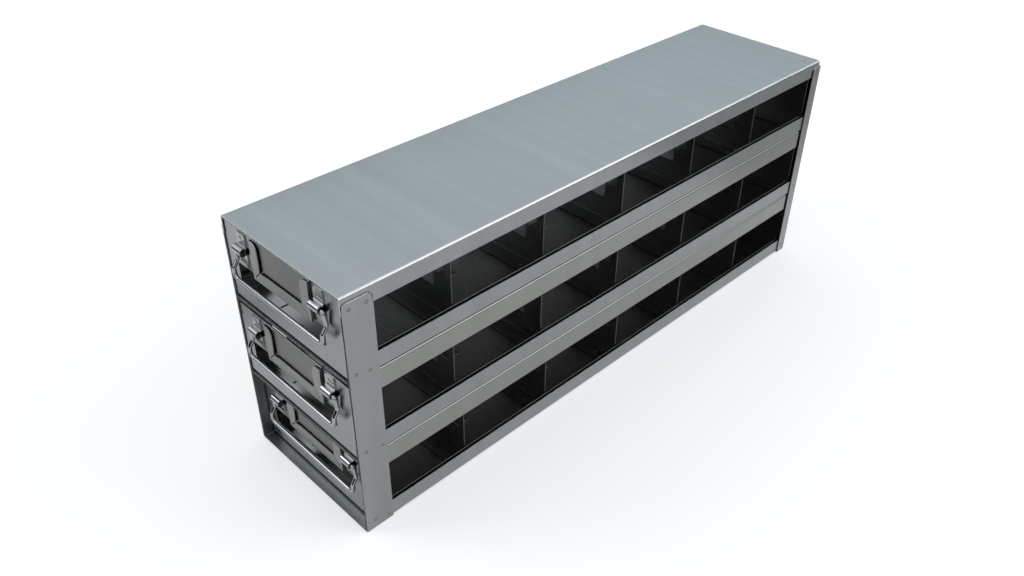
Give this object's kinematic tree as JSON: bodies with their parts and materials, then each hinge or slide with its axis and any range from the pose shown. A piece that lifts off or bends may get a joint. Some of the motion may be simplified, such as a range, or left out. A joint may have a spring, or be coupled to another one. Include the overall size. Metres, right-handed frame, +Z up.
{
  "type": "freezer drawer rack",
  "caption": "Open-sided sheet steel rack for an upright freezer, with sliding drawers that have dividers, a label holder, a finger window and a hinged wire bail.",
  "frame": {"origin": "middle of the underside, where the rack stands on a freezer shelf", "axes": "+Z up, -Y towards the drawer fronts, +Y towards the rear panel, +X to the right seen from the front"},
  "size_m": [0.14, 0.5666, 0.2114],
  "materials": {
    "frame_steel": "satin, grained",
    "guide_steel": "satin, grained",
    "drawer_steel": "satin, grained",
    "label_steel": "satin, grained",
    "clip_steel": "polished on the barrel",
    "polished_wire": "polished"
  },
  "bodies": {
    "rack": {"top_cover": "frame_steel", "upper_shelf": "frame_steel", "lower_shelf": "frame_steel", "bottom_tray": "frame_steel", "upper_guide": "guide_steel", "lower_guide": "guide_steel", "left_front_post": "frame_steel", "right_front_post": "frame_steel", "rear_panel": "frame_steel"},
    "top_drawer": {"top_drawer_tray": "drawer_steel", "top_drawer_front": "drawer_steel", "top_drawer_divider_1": "drawer_steel", "top_drawer_divider_2": "drawer_steel", "top_drawer_divider_3": "drawer_steel", "top_drawer_divider_4": "drawer_steel", "top_drawer_divider_5": "drawer_steel", "top_drawer_back": "drawer_steel", "top_drawer_label_holder": "label_steel", "top_drawer_left_clip": "clip_steel", "top_drawer_right_clip": "clip_steel"},
    "top_bail": {"top_drawer_bail": "polished_wire"},
    "middle_drawer": {"middle_drawer_tray": "drawer_steel", "middle_drawer_front": "drawer_steel", "middle_drawer_divider_1": "drawer_steel", "middle_drawer_divider_2": "drawer_steel", "middle_drawer_divider_3": "drawer_steel", "middle_drawer_divider_4": "drawer_steel", "middle_drawer_divider_5": "drawer_steel", "middle_drawer_back": "drawer_steel", "middle_drawer_label_holder": "label_steel", "middle_drawer_left_clip": "clip_steel", "middle_drawer_right_clip": "clip_steel"},
    "middle_bail": {"middle_drawer_bail": "polished_wire"},
    "bottom_drawer": {"bottom_drawer_tray": "drawer_steel", "bottom_drawer_front": "drawer_steel", "bottom_drawer_divider_1": "drawer_steel", "bottom_drawer_divider_2": "drawer_steel", "bottom_drawer_divider_3": "drawer_steel", "bottom_drawer_divider_4": "drawer_steel", "bottom_drawer_divider_5": "drawer_steel", "bottom_drawer_back": "drawer_steel", "bottom_drawer_label_holder": "label_steel", "bottom_drawer_left_clip": "clip_steel", "bottom_drawer_right_clip": "clip_steel"},
    "bottom_bail": {"bottom_drawer_bail": "polished_wire"}
  },
  "joints": [
    {"name": "top_drawer_slide", "type": "slide", "parent": "rack", "child": "top_drawer", "axis": [0, -1, 0], "range_m": [-0.0077, 0.4575]},
    {"name": "top_bail_swing", "type": "hinge", "parent": "top_drawer", "child": "top_bail", "pos_m": [0, -0.2822, 0.1938], "axis": [-1, 0, 0], "range_deg": [0, 130]},
    {"name": "middle_drawer_slide", "type": "slide", "parent": "rack", "child": "middle_drawer", "axis": [0, -1, 0], "range_m": [-0.0077, 0.4575]},
    {"name": "middle_bail_swing", "type": "hinge", "parent": "middle_drawer", "child": "middle_bail", "pos_m": [0, -0.2822, 0.1226], "axis": [-1, 0, 0], "range_deg": [0, 130]},
    {"name": "bottom_drawer_slide", "type": "slide", "parent": "rack", "child": "bottom_drawer", "axis": [0, -1, 0], "range_m": [0, 0.4652]},
    {"name": "bottom_bail_swing", "type": "hinge", "parent": "bottom_drawer", "child": "bottom_bail", "pos_m": [0, -0.2745, 0.0514], "axis": [-1, 0, 0], "range_deg": [0, 130]}
  ]
}
